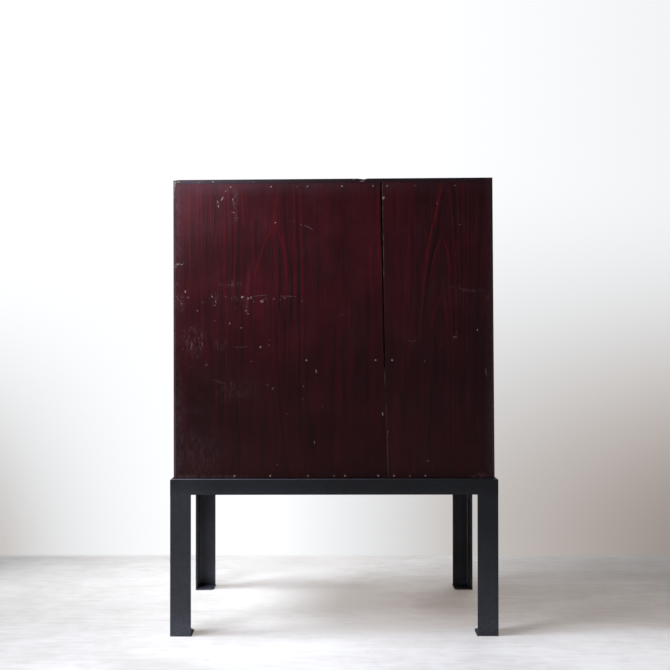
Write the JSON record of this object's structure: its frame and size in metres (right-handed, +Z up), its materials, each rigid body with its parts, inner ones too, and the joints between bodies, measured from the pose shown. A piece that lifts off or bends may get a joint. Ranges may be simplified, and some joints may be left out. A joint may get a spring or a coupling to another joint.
{
  "type": "small tansu chest of drawers on an iron stand",
  "caption": "Small wooden tansu chest with sliding drawers and hanging iron bail handles, carried on an open angle-iron stand.",
  "frame": {"origin": "middle of the box around the whole object, on the floor under it", "axes": "+Z up; -Y is the front with the drawers; +Y is the nailed back that the picture shows; +X is the right-hand side seen from the front"},
  "size_m": [0.63, 0.3726, 0.8826],
  "materials": {
    "stand_iron": "satin black",
    "screw_steel": "dull zinc",
    "back_lacquer": "wiped dark red lacquer, worn",
    "case_lacquer": "wiped dark red lacquer",
    "nail_steel": "worn grey",
    "peg_wood": "lacquered end grain",
    "handle_iron": "dull black",
    "bare_cedar": "bare, darkened with age"
  },
  "bodies": {
    "case": {"back_board_narrow": "back_lacquer", "back_board_wide": "back_lacquer", "back_nails": "nail_steel", "bottom_board": "case_lacquer", "corner_pegs": "peg_wood", "drawer_divider": "case_lacquer", "drawer_stops": "bare_cedar", "shelf_lower": "case_lacquer", "shelf_upper": "case_lacquer", "side_board_left": "case_lacquer", "side_board_right": "case_lacquer", "stand_foot_plates": "stand_iron", "stand_leg_back_left": "stand_iron", "stand_leg_back_right": "stand_iron", "stand_leg_front_left": "stand_iron", "stand_leg_front_right": "stand_iron", "stand_rail_back": "stand_iron", "stand_rail_front": "stand_iron", "stand_rail_left": "stand_iron", "stand_rail_right": "stand_iron", "stand_screws": "screw_steel", "top_board": "case_lacquer"},
    "drawer_top_left": {"drawer_top_left_back": "bare_cedar", "drawer_top_left_bottom": "bare_cedar", "drawer_top_left_front": "case_lacquer", "drawer_top_left_handle_eyes": "handle_iron", "drawer_top_left_handle_roses": "handle_iron", "drawer_top_left_handle_studs": "handle_iron", "drawer_top_left_side_left": "bare_cedar", "drawer_top_left_side_right": "bare_cedar"},
    "drawer_top_left_bail": {"drawer_top_left_bail": "handle_iron"},
    "drawer_top_right": {"drawer_top_right_back": "bare_cedar", "drawer_top_right_bottom": "bare_cedar", "drawer_top_right_front": "case_lacquer", "drawer_top_right_handle_eyes": "handle_iron", "drawer_top_right_handle_roses": "handle_iron", "drawer_top_right_handle_studs": "handle_iron", "drawer_top_right_side_left": "bare_cedar", "drawer_top_right_side_right": "bare_cedar"},
    "drawer_top_right_bail": {"drawer_top_right_bail": "handle_iron"},
    "drawer_middle": {"drawer_middle_back": "bare_cedar", "drawer_middle_bottom": "bare_cedar", "drawer_middle_front": "case_lacquer", "drawer_middle_handle_eyes": "handle_iron", "drawer_middle_handle_roses": "handle_iron", "drawer_middle_handle_studs": "handle_iron", "drawer_middle_side_left": "bare_cedar", "drawer_middle_side_right": "bare_cedar"},
    "drawer_middle_bail_left": {"drawer_middle_bail_left": "handle_iron"},
    "drawer_middle_bail_right": {"drawer_middle_bail_right": "handle_iron"},
    "drawer_bottom": {"drawer_bottom_back": "bare_cedar", "drawer_bottom_bottom": "bare_cedar", "drawer_bottom_front": "case_lacquer", "drawer_bottom_handle_eyes": "handle_iron", "drawer_bottom_handle_roses": "handle_iron", "drawer_bottom_handle_studs": "handle_iron", "drawer_bottom_side_left": "bare_cedar", "drawer_bottom_side_right": "bare_cedar"},
    "drawer_bottom_bail_left": {"drawer_bottom_bail_left": "handle_iron"},
    "drawer_bottom_bail_right": {"drawer_bottom_bail_right": "handle_iron"}
  },
  "joints": [
    {"name": "drawer_top_left_slide", "type": "slide", "parent": "case", "child": "drawer_top_left", "axis": [0, -1, 0], "range_m": [0, 0.265]},
    {"name": "drawer_top_left_bail_hinge", "type": "hinge", "parent": "drawer_top_left", "child": "drawer_top_left_bail", "pos_m": [-0.148, -0.17975, 0.80444], "axis": [-1, 0, 0], "range_deg": [0, 175]},
    {"name": "drawer_top_right_slide", "type": "slide", "parent": "case", "child": "drawer_top_right", "axis": [0, -1, 0], "range_m": [0, 0.265]},
    {"name": "drawer_top_right_bail_hinge", "type": "hinge", "parent": "drawer_top_right", "child": "drawer_top_right_bail", "pos_m": [0.148, -0.17975, 0.80444], "axis": [-1, 0, 0], "range_deg": [0, 175]},
    {"name": "drawer_middle_slide", "type": "slide", "parent": "case", "child": "drawer_middle", "axis": [0, -1, 0], "range_m": [0, 0.265]},
    {"name": "drawer_middle_bail_left_hinge", "type": "hinge", "parent": "drawer_middle", "child": "drawer_middle_bail_left", "pos_m": [-0.15, -0.17975, 0.63753], "axis": [-1, 0, 0], "range_deg": [0, 175]},
    {"name": "drawer_middle_bail_right_hinge", "type": "hinge", "parent": "drawer_middle", "child": "drawer_middle_bail_right", "pos_m": [0.15, -0.17975, 0.63753], "axis": [-1, 0, 0], "range_deg": [0, 175]},
    {"name": "drawer_bottom_slide", "type": "slide", "parent": "case", "child": "drawer_bottom", "axis": [0, -1, 0], "range_m": [0, 0.265]},
    {"name": "drawer_bottom_bail_left_hinge", "type": "hinge", "parent": "drawer_bottom", "child": "drawer_bottom_bail_left", "pos_m": [-0.15, -0.17975, 0.44352], "axis": [-1, 0, 0], "range_deg": [0, 175]},
    {"name": "drawer_bottom_bail_right_hinge", "type": "hinge", "parent": "drawer_bottom", "child": "drawer_bottom_bail_right", "pos_m": [0.15, -0.17975, 0.44352], "axis": [-1, 0, 0], "range_deg": [0, 175]}
  ]
}
